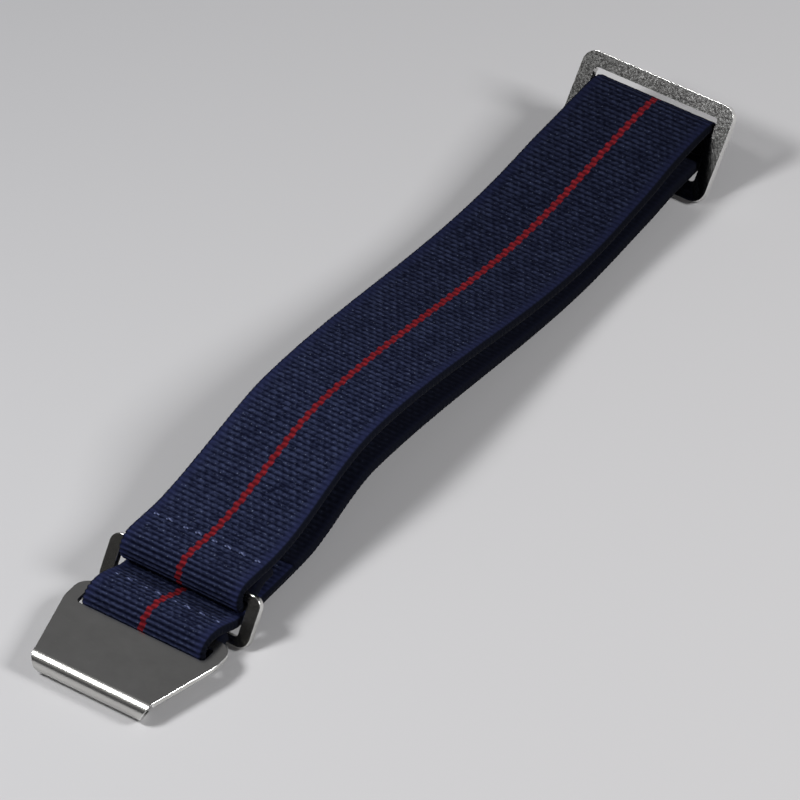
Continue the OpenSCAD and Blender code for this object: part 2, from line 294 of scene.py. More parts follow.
# %% What the strip tells its finish
elastic_finish, tree, skin = new_finish(
    "woven_elastic", Roughness=0.85, Sheen_Weight=0.015, Sheen_Roughness=0.4,
    Specular_IOR_Level=0.06)
cloth = put(tree, "ShaderNodeAttribute", out="Vector", attribute_name="cloth")
aside = put(tree, "ShaderNodeSeparateXYZ", {0: cloth})
along, looped = aside.other("Y"), aside.other("Z")
back = put(tree, "ShaderNodeAttribute", out="Fac", attribute_name="back")
across = aside / (YARN * MM)
rib, dash, crown, broad = dashes_of(across, along)
chance = put(tree, "ShaderNodeTexWhiteNoise", {"Vector": vector(tree, dash, rib, 0.0)}, "Value",
             noise_dimensions="2D")


def fuzz(per_yarn, per_rib, detail):
    """Noise that is drawn out across the strip, like the filaments in each dash."""
    at = vector(tree, across * per_yarn, along * per_rib, 0.0)
    return put(tree, "ShaderNodeTexNoise", {"Vector": at, "Scale": 1.0, "Detail": detail},
               out="Fac")


filaments = fuzz(per_yarn=0.9, per_rib=2.6, detail=3.0)
drift = fuzz(per_yarn=0.12, per_rib=0.1, detail=2.0)
grains = fuzz(per_yarn=2.1, per_rib=2.9, detail=1.0)
print("yarns across, ribs along, and three kinds of noise")

# %% [markdown]
# The navy is darkest in the grooves and palest on the crowns: partly the yarn's own tone,
# and partly painted shade in the grooves and a painted highlight on the crowns. It differs
# from dash to dash and from filament to filament. A few grains are much paler, as lint is.
# Loops show the crowns more evenly, with sharper grooves, and are painted a little paler,
# as painted light.

# %% The navy dashes
LOOP_CLOSES, LOOP_SHARPENS, LOOP_EVENS, LOOP_PAINTED_LIGHT = 0.85, 1.3, 0.6, 0.08
CROWN_SHARPNESS, GAP_LEVEL = 1.5, 0.3
DASH_SPREAD, FILAMENT_SPREAD, DRIFT_SPREAD, NAVY_MIDDLE = 0.4, 2.2, 0.3, 0.6
SPECK_FROM, SPECK_SHARPNESS, SPECK_MOST = 0.66, 7.0, 0.6
closed = broad + (1.0 - broad) * (looped * LOOP_CLOSES)
peaked = crown.math("POWER", looped * LOOP_SHARPENS + CROWN_SHARPNESS)
raised = peaked * (closed * (1.0 - GAP_LEVEL) + GAP_LEVEL)
by_dash = (chance - 0.5) * ((1.0 - looped * LOOP_EVENS) * DASH_SPREAD)
by_yarn = (filaments - 0.5) * FILAMENT_SPREAD + (drift - 0.5) * DRIFT_SPREAD
# painted light: the crowns on the loops are painted a little paler
bright = raised * (by_dash + by_yarn + looped * LOOP_PAINTED_LIGHT + NAVY_MIDDLE)
# partly the yarn's own tone, partly painted shade in the grooves and a painted highlight on the
# crowns
navy = mixed(tree, bright.held(), NAVY_DEEP, NAVY_PALE)
speck = (grains - SPECK_FROM) * SPECK_SHARPNESS * raised
navy = mixed(tree, speck.held(SPECK_MOST), navy, NAVY_SPECK)
print("navy dashes", len(tree.nodes), "nodes so far")

# %% [markdown]
# The last millimetre at each side is a selvage of finer, bluer yarn, and its outer wall is
# painted nearly black, as painted shade. Towards the fold at the frame the cloth is painted
# darker, and paler away from it towards the hook: painted shade, for light that falls off
# towards the frame. The back of the cloth, which shows on top of the lower layer, is painted
# nearly black, as painted shade between the two layers.

# %% The edges, the shade painted towards the fold, and the back
SELVAGE_MARGIN, SELVAGE_FADE = 0.8, 1.2
EDGE_SHARPENS, EDGE_LOOP_PAINTED_LIGHT = 2.0, 0.25
FOLD_RIB, FOLD_SHADE_RIBS = 160, 110
LIGHT_KEPT_AT_FOLD, BACK_SHADE_SHARE = 0.58, 0.8
from_edge = (ELASTIC_W / 2 * MM - aside.math("ABSOLUTE")) / MM
selvage = (SELVAGE + SELVAGE_MARGIN - from_edge) / SELVAGE_FADE
edge_crown = crown.math("POWER", looped * EDGE_SHARPENS + 1.0)
# painted light: the selvage's crowns on the loops are painted a little paler
edge_thread = edge_crown * (filaments + looped * EDGE_LOOP_PAINTED_LIGHT)
# the selvage too is painted darker in its grooves, partly as painted shade
edge_colour = mixed(tree, edge_thread.held(), EDGE_DEEP, EDGE_PALE)
# painted shade: the outer wall of each edge is painted nearly black
on_wall = (EDGE_W - from_edge) / (EDGE_W / 2)
edge_colour = mixed(tree, on_wall.held(), edge_colour, EDGE_WALL_SHADE)
edged = mixed(tree, selvage.held(), navy, edge_colour)
# painted shade: the cloth is mixed towards black near the fold at the frame, for the light that
# falls off there
fold_shade = ((along - FOLD_RIB).math("ABSOLUTE") / FOLD_SHADE_RIBS).held().math("POWER", 2.0)
edged = mixed(tree, fold_shade * (1.0 - LIGHT_KEPT_AT_FOLD) + LIGHT_KEPT_AT_FOLD, PAINTED_SHADE_BLACK, edged)
# painted shade: the back of the cloth, which lies between the two layers, is mixed towards near
# black
edged = mixed(tree, back * BACK_SHADE_SHARE, edged, BACK_SHADE_COLOUR)
print("selvage", SELVAGE, "mm, paler away from rib", FOLD_RIB, "over", FOLD_SHADE_RIBS, "ribs")

# %% The red line
RED_CORE, RED_REACH = 0.6, 0.95
RED_FILAMENTS, RED_DRIFT, RED_MIDDLE = 2.0, 0.6, 0.9
in_red = dash.math("ABSOLUTE").math("LESS_THAN", 0.5)
near_red = across.math("ABSOLUTE").math("LESS_THAN", RED_CORE)
in_reach = across.math("ABSOLUTE").math("LESS_THAN", RED_REACH)
red_yarn = (filaments - 0.5) * RED_FILAMENTS + (drift - 0.5) * RED_DRIFT + RED_MIDDLE
# the red is painted darker between its crowns as well: partly its own tone, partly painted shade
red = mixed(tree, (raised * crown * red_yarn).held(), RED_DEEP, RED_PALE)
coloured = mixed(tree, in_red.math("MAXIMUM", near_red) * in_reach, edged, red)
join(tree, coloured, skin.inputs["Base Color"])
print("red line", round(2 * RED_REACH * YARN, 2), "mm wide at most")

# %% The fine fuzz of the yarn
FUZZ_HEIGHT, BUMP_STRENGTH = 0.06, 0.5
CROWN_FUZZ, FILAMENT_FUZZ = 0.5, 0.8
fluff = raised * CROWN_FUZZ + filaments * FILAMENT_FUZZ
bump = put(tree, "ShaderNodeBump",
           {"Strength": BUMP_STRENGTH, "Distance": FUZZ_HEIGHT * MM, "Height": fluff})
join(tree, bump, skin.inputs["Normal"])
print("woven elastic", len(tree.nodes), "nodes")

# %% [markdown]
# ## The steel
# The hook plate is satin: one polished sheet with the faintest drawn lines across it. The
# frame was tumbled with grit, so its faces are speckled, and the adjuster was rubbed
# smoother in use. Their rims stay bright. Pictures of real steel could be laid on, but they
# would show seams and end at one scale. So each finish is noise in the part's own space that
# turns roughness, colour and a small bump, and each mesh marks its own bevelled rims.

# %% Finishes of the steel
GRAIN_DETAIL, GRAIN_HARSHNESS, ROUGH_SPREAD = 5.0, 0.65, 0.04
CLOUD_SCALE, CLOUD_DETAIL, CLOUD_SPREAD = 420.0, 3.0, 0.2
DULLER, PALER = 0.5, 1.5


def steel(name, colour, rim_colour, rough, rim_rough, grain, depth, patchy):
    """grain is how fine the noise is along each axis, and depth its height in millimetres."""
    finish, tree, skin = new_finish(name, Metallic=1.0)
    where = put(tree, "ShaderNodeTexCoord", out="Object")
    stretched = put(tree, "ShaderNodeMapping", {"Vector": where, "Scale": grain})
    fine = put(tree, "ShaderNodeTexNoise",
               {"Vector": stretched, "Scale": 1.0, "Detail": GRAIN_DETAIL,
                "Roughness": GRAIN_HARSHNESS}, out="Fac")
    cloudy = put(tree, "ShaderNodeTexNoise",
                 {"Vector": where, "Scale": CLOUD_SCALE, "Detail": CLOUD_DETAIL}, out="Fac")
    rim = put(tree, "ShaderNodeAttribute", out="Fac", attribute_name="rim")
    patches = ((fine - 0.5) * patchy + (cloudy - 0.5) * CLOUD_SPREAD + 0.5) * (1.0 - rim)
    dull = [c * DULLER for c in colour[:3]] + [1.0]
    pale = [min(c * PALER, 1.0) for c in colour[:3]] + [1.0]
    face = mixed(tree, patches, dull, pale)
    join(tree, mixed(tree, rim, face, rim_colour), skin.inputs["Base Color"])
    roughness = (fine - 0.5) * (patchy * ROUGH_SPREAD) + rim * (rim_rough - rough) + rough
    join(tree, roughness, skin.inputs["Roughness"])
    bump = put(tree, "ShaderNodeBump",
               {"Strength": BUMP_STRENGTH, "Distance": depth * MM, "Height": fine * (1.0 - rim)})
    join(tree, bump, skin.inputs["Normal"])
    print(name, len(tree.nodes), "nodes")
    return finish


hook_finish = steel("satin_steel", paint(202, 201, 197), paint(242, 242, 240), rough=0.25,
                    rim_rough=0.08, grain=(900.0, 14000.0, 14000.0), depth=0.001, patchy=0.15)
adjuster_finish = steel("rubbed_steel", paint(150, 148, 142), paint(222, 221, 217), rough=0.24,
                        rim_rough=0.22, grain=(3000.0, 3000.0, 3000.0), depth=0.003, patchy=1.0)
frame_finish = steel("tumbled_steel", paint(134, 134, 133), paint(238, 237, 234), rough=0.15,
                     rim_rough=0.2, grain=(3200.0, 3200.0, 3200.0), depth=0.006, patchy=4.0)

# %% [markdown]
# ## The sewing thread
# The thread is pale blue and twisted. The weave half swallows it, and it is painted darker
# than it is on the reel, as painted shade. A plain blue would do from far off, but close up a
# thread shows its ply. Slanted bands give it that twist, in a small bump and in colour, where
# the darker bands are painted shade in the grooves of the ply.

# %% Finish of the sewing thread
PLY_SCALE, PLY_WOBBLE, PLY_DEPTH = 900.0, 1.5, 0.04
THREAD_DEEP, THREAD_PALE = paint(46, 53, 88), paint(108, 118, 156)
thread_finish, tree, skin = new_finish(
    "sewing_thread", Roughness=0.7, Sheen_Weight=0.02, Specular_IOR_Level=0.2)
where = put(tree, "ShaderNodeTexCoord", out="Object")
ply = put(tree, "ShaderNodeTexWave",
          {"Vector": where, "Scale": PLY_SCALE, "Distortion": PLY_WOBBLE}, out="Fac",
          bands_direction="DIAGONAL")
# painted shade: the thread's colours are darker than its own, and the ply's dark bands stand for
# its grooves
join(tree, mixed(tree, ply, THREAD_DEEP, THREAD_PALE), skin.inputs["Base Color"])
bump = put(tree, "ShaderNodeBump",
           {"Strength": BUMP_STRENGTH, "Distance": PLY_DEPTH * MM, "Height": ply})
join(tree, bump, skin.inputs["Normal"])
print("sewing thread", len(tree.nodes), "nodes")

# %% [markdown]
# ## Where the strip runs
# Seen from the side, the strip is a line. It starts under the upper layer, loops round the
# adjuster's bar, arches along the top, folds round the frame's bar and comes back below.
# The short tab starts under itself and loops round the hook plate's bar. A curve could be
# drawn by eye, but then it would miss the metal, so each height comes from the same
# stations that shape the solid parts, easing from one to the next. The elastic isn't equally
# wide everywhere: it draws in a little over the arch and spreads towards the frame.

# %% Places along the band
HOOK_BAR_Y, HOOK_BAR_Z = 14.8, 3.0
ADJUSTER_BAR_Y, ADJUSTER_BAR_Z = 23.4, 6.17
FRAME_BAR_Y, FRAME_BAR_Z = 137.0, 6.439
NARROW_TURN, WIDE_TURN = 1.725, 2.525
ARCH_Y, DIP_Y = 54.7, 106.7
TAB_SEAM_Y, SEWN_SEAM_Y = 18.3, 27.8
UNDER_END, FLAP_START, TAB_END = 18.7, 29.2, 34.2
LAP_START, LAP_END, LOWER_END = 25.7, 34.3, 25.85
print("from the hook's bar to the frame's", round(FRAME_BAR_Y - HOOK_BAR_Y, 1), "mm")

# %% Heights of the layers, and the strip's breadth
UPPER_TOP = [(ADJUSTER_BAR_Y, 8.67), (FLAP_START, 8.47), (ARCH_Y, 13.2), (DIP_Y, 7.6),
             (FRAME_BAR_Y, 9.739)]
LOWER_UNDER = [(34.2, 1.889), (37.2, 1.889), (ARCH_Y, 5.6), (DIP_Y, 2.2), (131.4, 3.139),
               (FRAME_BAR_Y, 3.139)]
FLAP_UNDER = [(ADJUSTER_BAR_Y, 3.67), (SEWN_SEAM_Y, 5.37)]
TAB_TOP = [(HOOK_BAR_Y, 5.5), (15.6, 5.5), (22.45, 3.439)]
BREADTH = [(32.0, 1.0), (50.0, 0.955), (104.0, 1.05), (121.0, 1.035), (129.0, 1.01)]


def ease(t):
    t = min(max(t, 0.0), 1.0)
    return t * t * (3 - 2 * t)


def height(y, stations):
    """The value at y, eased from one station (y, value) to the next."""
    for (y0, z0), (y1, z1) in zip(stations, stations[1:]):
        if y < y1 or y1 == stations[-1][0]:
            return z0 + (z1 - z0) * ease((y - y0) / (y1 - y0))


TAB_UNDER_TOP = [(HOOK_BAR_Y, 2.05), (15.6, 2.05),
                 (UNDER_END, height(UNDER_END, TAB_TOP) - ELASTIC_T)]
print("tab's under ply ends at height", round(TAB_UNDER_TOP[-1][1], 3))

# %% Lines through the middle of the strip
HALF_T = ELASTIC_T / 2
FULL, HALVED = HALF_T, -0.05
PATH_STEP, TURN_STEPS = 0.15, 40


def run(y0, y1, stations, shift, halved=None):
    """Points (y, z, inner, looped) along a layer; inner is how thick it is on its inner side."""
    steps = math.ceil(abs(y1 - y0) / PATH_STEP)
    ys = [y0 + (y1 - y0) * i / steps for i in range(steps + 1)]
    return [(y, height(y, stations) + shift, HALVED if halved and halved(y) else FULL, 0.0)
            for y in ys]


def turn(y, z, radius, start, end):
    """Points round a bar, between two angles."""
    angles = [math.radians(start + (end - start) * i / TURN_STEPS) for i in range(1, TURN_STEPS)]
    return [(y + radius * math.cos(a), z + radius * math.sin(a), FULL, 1.0) for a in angles]


band_line = (run(FLAP_START, ADJUSTER_BAR_Y, FLAP_UNDER, HALF_T)
             + turn(ADJUSTER_BAR_Y, ADJUSTER_BAR_Z, NARROW_TURN, -90, -270)
             + run(ADJUSTER_BAR_Y, FRAME_BAR_Y, UPPER_TOP, -HALF_T)
             + turn(FRAME_BAR_Y, FRAME_BAR_Z, WIDE_TURN, 90, -90)
             + run(FRAME_BAR_Y, LOWER_END, LOWER_UNDER, HALF_T, lambda y: y < LAP_END))
tab_line = (run(UNDER_END, HOOK_BAR_Y, TAB_UNDER_TOP, -HALF_T)
            + turn(HOOK_BAR_Y, HOOK_BAR_Z, NARROW_TURN, -90, -270)
            + run(HOOK_BAR_Y, TAB_END, TAB_TOP, -HALF_T, lambda y: y > LAP_START))


def lengths(spots):
    """How far along the line each of its points is."""
    sums = [0.0]
    for (y0, z0, *_), (y1, z1, *_) in zip(spots, spots[1:]):
        sums.append(sums[-1] + math.hypot(y1 - y0, z1 - z0))
    return sums


print("strip", round(lengths(band_line)[-1], 1), "mm, tab", round(lengths(tab_line)[-1], 1), "mm")

# %% [markdown]
# ## Counting ribs along the line
# Elastic that is bent round a bar packs its inner side and hardly stretches outside, so its
# ribs show as close together on the loops as on the flat. The line is therefore marked off
# along its outer side: four points to a rib, each with the direction in which the strip
# runs there. Whatever is swept along these points has its ribs where the points are.

# %% Four points to a rib
RINGS = 4


def rib_steps(line):
    """Points (y, z, inner, looped, way y, way z), evenly spaced along the outer side."""
    ways = []
    for behind, ahead in zip(line[:1] + line, line[1:] + line[-1:]):
        along_y, along_z = ahead[0] - behind[0], ahead[1] - behind[1]
        far = math.hypot(along_y, along_z)
        ways.append((along_y / far, along_z / far))
    outer = [(p[0] - HALF_T * w[1], p[1] + HALF_T * w[0]) for p, w in zip(line, ways)]
    sums = lengths(outer)
    count = round(sums[-1] / RIB) * RINGS
    steps, i = [], 0
    for k in range(count + 1):
        wanted = sums[-1] * k / count
        while i < len(sums) - 2 and sums[i + 1] < wanted:
            i += 1
        t = (wanted - sums[i]) / (sums[i + 1] - sums[i])
        ends = (*line[i], *ways[i]), (*line[i + 1], *ways[i + 1])
        steps.append([a + (b - a) * t for a, b in zip(*ends)])
    return steps


band_steps, tab_steps = rib_steps(band_line), rib_steps(tab_line)
print("ribs of the strip", len(band_steps) // RINGS, "and of the tab", len(tab_steps) // RINGS)

# %% [markdown]
# ## Weaving the strip
# A flat ribbon with a bump map would look right only from far off: the edge of the real
# one is serrated and its ribs catch the light. So the ribs are real. The tree sweeps a
# rounded section along a straight line, four rings to a rib, notes where each point is in
# the cloth, and then lays each ring on its own point of the strip's line while lifting every
# yarn that passes over. It can make any stretch of the line, from one groove to another, so
# that neighbouring pieces meet in the groove between two ribs.

# %% The tree of the woven strip
tree, size = new_tree("woven strip", {
    "First Groove": "Int", "Last Groove": "Int", "Rings": "Int", "Width": "Float",
    "Thickness": "Float", "Edge Width": "Float", "Rib Depth": "Float", "Yarn Depth": "Float",
    "Edge Depth": "Float", "Selvage": "Float", "Yarns": "Int", "Edge Steps": "Int", "Seed": "Int",
    "Material": "Material"})
woven_tree = tree
ANY_RADIUS = 0.01
rings = (size["Last Groove"] - size["First Groove"]) * size["Rings"] + 1.0
line = put(tree, "GeometryNodeCurvePrimitiveLine", {"End": (0.0, 1.0, 0.0)})
line = put(tree, "GeometryNodeResampleCurve", {"Curve": line, "Count": rings})
steps_on_face = size["Yarns"] * 2.0
half_round = steps_on_face + size["Edge Steps"]
ring = put(tree, "GeometryNodeCurvePrimitiveCircle",
           {"Resolution": half_round * 2.0, "Radius": ANY_RADIUS})


def noted(geometry, label, value):
    """Keeps a value on each point, to be read after the sweep."""
    node = tree.nodes.new("GeometryNodeCaptureAttribute")
    node.capture_items.new("FLOAT", label)
    join(tree, geometry, node.inputs[0])
    join(tree, value, node.inputs[1])
    return Wire(tree, node.outputs[0]), Wire(tree, node.outputs[1])


line, passed = noted(line, "Passed", put(tree, "GeometryNodeInputIndex"))
ring, number = noted(ring, "Number", put(tree, "GeometryNodeInputIndex"))
swept = put(tree, "GeometryNodeCurveToMesh",
            {"Curve": line, "Profile Curve": ring, "Fill Caps": True})
print("a line of", len(band_steps), "rings, with four points to a yarn, two above and two below")

# %% The rounded section, from each point's number round it
below = number.math("GREATER_THAN", half_round - 0.5)
side = 1.0 - below * 2.0
step = number.math("MODULO", half_round)
turned = (step - steps_on_face).math("MAXIMUM", 0.0) / size["Edge Steps"] * math.pi
flat_half = size["Width"] / 2.0 - size["Edge Width"]
on_face = step.math("MINIMUM", steps_on_face) / steps_on_face * flat_half * 2.0 - flat_half
x = side * (on_face + turned.math("SINE") * size["Edge Width"])
outward = side * turned.math("COSINE")
sideways = side * turned.math("SINE")

# %% Reading the strip's line
number_on_line = (size["First Groove"] * size["Rings"] + passed).math("ROUND")


def on_line(value):
    """What the line's own point says, read by that point's number."""
    return put(tree, "GeometryNodeSampleIndex",
               {"Geometry": size["Geometry"], "Value": value, "Index": number_on_line},
               data_type="FLOAT_VECTOR")


def named(label):
    return put(tree, "GeometryNodeInputNamedAttribute", {"Name": label}, data_type="FLOAT_VECTOR")


laid = put(tree, "ShaderNodeSeparateXYZ", {0: on_line(named("lay"))})
inner, loop, breadth = laid, laid.other("Y"), laid.other("Z")

# %% The relief of ribs and yarns
LOOP_OPENS, LOOP_TO_EDGE, EDGE_SHARE = 1.3, 0.5, 0.3
CHANCE_DEPTH, NUMBERS_PER_RIB = 0.4, 97.0
rib_at = number_on_line / size["Rings"]
rib, dash, crown, broad = dashes_of(x * size["Yarns"] / (flat_half * 2.0), rib_at)
chance = put(tree, "FunctionNodeRandomValue",
             {"ID": rib * NUMBERS_PER_RIB + dash, "Seed": size["Seed"]}, data_type="FLOAT")
to_side = flat_half + size["Edge Width"] - x.math("ABSOLUTE")
inside = to_side.math("GREATER_THAN", size["Selvage"])
opened = loop * LOOP_OPENS + 1.0
to_edge = inside * (1.0 - EDGE_SHARE - loop * LOOP_TO_EDGE) + loop * LOOP_TO_EDGE + EDGE_SHARE
ribbed = (crown - 1.0) * size["Rib Depth"] * opened * to_edge
notched = (broad - 1.0) * (1.0 - loop * LOOP_CLOSES) - (1.0 - chance) * CHANCE_DEPTH
lifted = crown * notched * inside * size["Yarn Depth"]

# %% The bend onto the line
over, under = outward.math("MAXIMUM", 0.0), outward.math("MINIMUM", 0.0)
shell = over * (size["Thickness"] / 2.0) + under * inner
off_line = shell + outward * (ribbed + lifted)
widened = (x - sideways * size["Edge Depth"] * opened * (1.0 - crown)) * breadth
normal = on_vectors("CROSS_PRODUCT", vector(tree, 1.0, 0.0, 0.0), on_line(named("way")))
point = on_vectors("ADD", on_line(put(tree, "GeometryNodeInputPosition")),
                   vector(tree, widened, 0.0, 0.0))
point = on_vectors("ADD", point, scaled(normal, off_line))
bent = put(tree, "GeometryNodeSetPosition", {"Geometry": swept, "Position": point})
kept = put(tree, "GeometryNodeStoreNamedAttribute",
           {"Geometry": bent, "Name": "cloth", "Value": vector(tree, x, rib_at, loop)},
           data_type="FLOAT_VECTOR", domain="POINT")
kept = put(tree, "GeometryNodeStoreNamedAttribute",
           {"Geometry": kept, "Name": "back", "Value": under * -1.0},
           data_type="FLOAT", domain="POINT")
end_tree(tree, put(tree, "GeometryNodeSetShadeSmooth", {0: kept}), size["Material"])

# %% The line as a mesh, and the shading at a cut
def line_mesh(name, steps):
    """A line's points, each with how it lies there and the way it runs."""
    mesh = bpy.data.meshes.new(name)
    mesh.from_pydata([place(0, step[0], step[1]) for step in steps], [], [])
    lay = mesh.attributes.new("lay", "FLOAT_VECTOR", "POINT")
    lay.data.foreach_set("vector", [
        v for step in steps for v in (step[2] * MM, step[3], height(step[0], BREADTH))])
    way = mesh.attributes.new("way", "FLOAT_VECTOR", "POINT")
    way.data.foreach_set("vector", [v for step in steps for v in (0.0, step[4], step[5])])
    return mesh


def level_at_cuts(mesh):
    """Turns the normals round each cut square to it, so that two pieces shade as one strip."""
    normals = [n.vector.copy() for n in mesh.corner_normals]
    caps = [face for face in mesh.polygons if len(face.vertices) > QUAD]
    cuts = {v: cap.normal for cap in caps for v in cap.vertices}
    for face in mesh.polygons:
        if len(face.vertices) == QUAD:
            for corner in face.loop_indices:
                cut = cuts.get(mesh.loops[corner].vertex_index)
                if cut is not None:
                    tilted = normals[corner]
                    normals[corner] = (tilted - cut * tilted.dot(cut)).normalized()
    mesh.normals_split_custom_set(normals)


# %% A stretch of strip
RIB_DEPTH, YARN_DEPTH, EDGE_DEPTH = 0.15, 0.09, 0.07
EDGE_STEPS, WEAVE_SEED = 6, 7


def weave(name, mesh, first, last):
    """The stretch from one groove to another, both given by their number."""
    piece = grow(name, mesh, woven_tree, {
        "First Groove": first, "Last Groove": last, "Rings": RINGS, "Width": ELASTIC_W * MM,
        "Thickness": ELASTIC_T * MM, "Edge Width": EDGE_W * MM, "Rib Depth": RIB_DEPTH * MM,
        "Yarn Depth": YARN_DEPTH * MM, "Edge Depth": EDGE_DEPTH * MM, "Selvage": SELVAGE * MM,
        "Yarns": YARNS, "Edge Steps": EDGE_STEPS, "Seed": WEAVE_SEED, "Material": elastic_finish})
    level_at_cuts(piece.data)
    return piece


# %% [markdown]
# ## Cutting the weave where the band bends
# The solid band is a chain of short lengths with a bend or a stretch between them. Cloth
# that rode on those lengths would open at every bend. So each woven piece lies across one
# split, from the middle of one length to the middle of the next. Here the pieces are made
# in the rest pose and stay where they are made, on no length.

# %% Where the pieces meet
LENGTHS = 20
FIRST_SPLIT, SPLIT_STEP = 35.8, 4.74
PAST_LAP = 0.3
last_groove = len(band_steps) // RINGS
fold_at = max(range(len(band_steps)), key=lambda i: band_steps[i][0])
loop_at = min(range(len(band_steps)), key=lambda i: band_steps[i][0])


def groove(y, layer):
    """Number of the groove nearest to y, on the upper or the lower layer."""
    along = range(loop_at, fold_at) if layer == "upper" else range(fold_at, len(band_steps))
    return round(min(along, key=lambda i: abs(band_steps[i][0] - y)) / RINGS)


def groove_point(number):
    return place(0, *band_steps[number * RINGS][:2])


cuts = [FIRST_SPLIT + SPLIT_STEP * (k - 0.5) for k in range(LENGTHS + 2)]
print("grooves", last_groove, "cuts from", round(cuts[0], 2), "to", round(cuts[-1], 2))

# %% The band's woven pieces
band_mesh = line_mesh("band_line", band_steps)
grooves = {"upper": [groove(y, "upper") for y in cuts],
           "lower": [groove(y, "lower") for y in [LAP_END + PAST_LAP, *cuts[1:]]]}
made = []
for layer, numbers in grooves.items():
    for k in range(1, LENGTHS + 2):
        start, end = numbers[k - 1], numbers[k]
        piece = weave(f"{layer}_weave_{k}", band_mesh, min(start, end), max(start, end))
        groove_point(start)
        groove_point(end)
        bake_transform(piece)
        runs = [f"{layer}_run_{i}" for i in (k, k + 1)]
        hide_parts(*[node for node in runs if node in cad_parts])
        made.append(piece)
print(len(made), "blended pieces,", sum(len(p.data.polygons) for p in made), "faces")

# %% The sewn end, the fold and the tab
sewn_end = weave("sewn_end_weave", band_mesh, 0, grooves["upper"][0])
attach(sewn_end, "band_1")
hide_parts("sewn_end_elastic")
lower_start = weave("lower_start_weave", band_mesh, grooves["lower"][0], last_groove)
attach(lower_start, "band_1")
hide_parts("lower_run_1")
fold = weave("frame_fold_weave", band_mesh, grooves["upper"][-1], grooves["lower"][-1])
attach(fold, f"band_{LENGTHS + 2}")
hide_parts("frame_fold_elastic")
tab = weave("tab_weave", line_mesh("tab_line", tab_steps), 0, len(tab_steps) // RINGS)
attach(tab, "tab")
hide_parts("tab_elastic")
for piece in (sewn_end, lower_start, fold, tab):
    print(piece.name, len(piece.data.polygons), "faces")

# %% [markdown]
# ## Stitches
# Two machine seams close the loops, each seen as one row of stitches on top and one below.
# Each stitch is a short bow of thread whose ends dive into the cloth. A long curve that went
# in and out would serve too, but most of it would lie unseen in the cloth. Modelling one bow
# and repeating it is a job for instances: a line of points carries the bow, with a small
# random turn and depth, as no two lie alike.

# %% The tree of a row of stitches
tree, size = new_tree("stitch row", {
    "First": "Vector", "Pitch": "Float", "Count": "Int", "Length": "Float", "Rise": "Float",
    "Sink": "Float", "Thread": "Float", "Seed": "Int", "Material": "Material"})
stitch_tree = tree
WANDER, BOW_RISE, LEAN = 0.4, 2.4, 0.1
BOW_POINTS, STRAND_SIDES = 5, 6
points = put(tree, "GeometryNodeMeshLine",
             {"Count": size["Count"], "Start Location": size["First"],
              "Offset": vector(tree, size["Pitch"], 0.0, 0.0)})
sunk = put(tree, "FunctionNodeRandomValue", {"Min": 0.0, "Max": 1.0, "Seed": size["Seed"] + 1.0},
           data_type="FLOAT")
moved = vector(tree, (sunk - 0.5) * size["Length"] * WANDER, 0.0, sunk * size["Sink"])
points = put(tree, "GeometryNodeSetPosition", {"Geometry": points, "Offset": moved})
bow = put(tree, "GeometryNodeCurveQuadraticBezier", {
    "Resolution": BOW_POINTS,
    "Start": vector(tree, size["Length"] * -0.5, 0.0, size["Rise"] * -1.0),
    "Middle": vector(tree, 0.0, 0.0, size["Rise"] * BOW_RISE),
    "End": vector(tree, size["Length"] * 0.5, 0.0, size["Rise"] * -1.0)})
strand = put(tree, "GeometryNodeCurvePrimitiveCircle",
             {"Resolution": STRAND_SIDES, "Radius": size["Thread"] / 2.0})
stitch = put(tree, "GeometryNodeCurveToMesh",
             {"Curve": bow, "Profile Curve": strand, "Fill Caps": True})
stitch = put(tree, "GeometryNodeSetShadeSmooth", {0: stitch})
tilt = put(tree, "FunctionNodeRandomValue", {"Min": -LEAN, "Max": LEAN, "Seed": size["Seed"]},
           data_type="FLOAT")
row = put(tree, "GeometryNodeInstanceOnPoints",
          {"Points": points, "Instance": stitch, "Rotation": vector(tree, 0.0, 0.0, tilt)})
end_tree(tree, row, size["Material"])

# %% The four rows
STITCH_PITCH, STITCH_L, THREAD_D = 2.4, 0.95, 0.32
STITCHES, STITCH_SEED = 8, 3
STITCH_RISE, DEEPEST = 0.1, 2.4
empty = bpy.data.meshes.new("empty")


def stitch_row(name, y, z, rise, count, body, node):
    start = place(-(count - 1) * STITCH_PITCH / 2, y, z)
    row = grow(name, empty, stitch_tree, {
        "First": start, "Pitch": STITCH_PITCH * MM, "Count": count, "Length": STITCH_L * MM,
        "Rise": rise * MM, "Sink": -DEEPEST * rise * MM, "Thread": THREAD_D * MM,
        "Seed": STITCH_SEED, "Material": thread_finish})
    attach(row, body)
    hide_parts(node)
    print(name, len(row.data.polygons), "faces")


for name, y, stations, body in (("tab_seam", TAB_SEAM_Y, TAB_TOP, "tab"),
                                ("sewn_end_seam", SEWN_SEAM_Y, UPPER_TOP, "band_1")):
    top = height(y, stations)
    node = name + "_thread"
    stitch_row(name + "_top", y, top, STITCH_RISE, STITCHES, body, node)
    stitch_row(name + "_under", y, top - 2 * ELASTIC_T, -STITCH_RISE, STITCHES - 1, body, node)

# %% [markdown]
# ## Steel with rubbed rims
# Stamped and tumbled steel has no knife edges: a worn rim catches the light all round it.
# The solid parts have sharp edges, so a copy of each is merged, its flat faces are joined
# again, and its sharp edges are rounded. A Bevel modifier would round them too, but the mesh
# call gives back the rounded faces. They are marked, so that the finish can polish them, and
# so are the walls of the two flat parts. Smooth shading would bend the reflections on the
# flat faces, so the normals are weighted by area, which leaves the large faces flat. The
# frame's rim is wide, and left in flat steps: each step mirrors one patch of the room, and
# that gives the crisp white line along its far side.

# %% Rounding a copy of each part
MERGE_WITHIN = 1e-6
SAME_FLAT, SHARP_OVER = math.radians(1), math.radians(35)
RIM_STEPS, WALL_LEAN = 3, 0.3


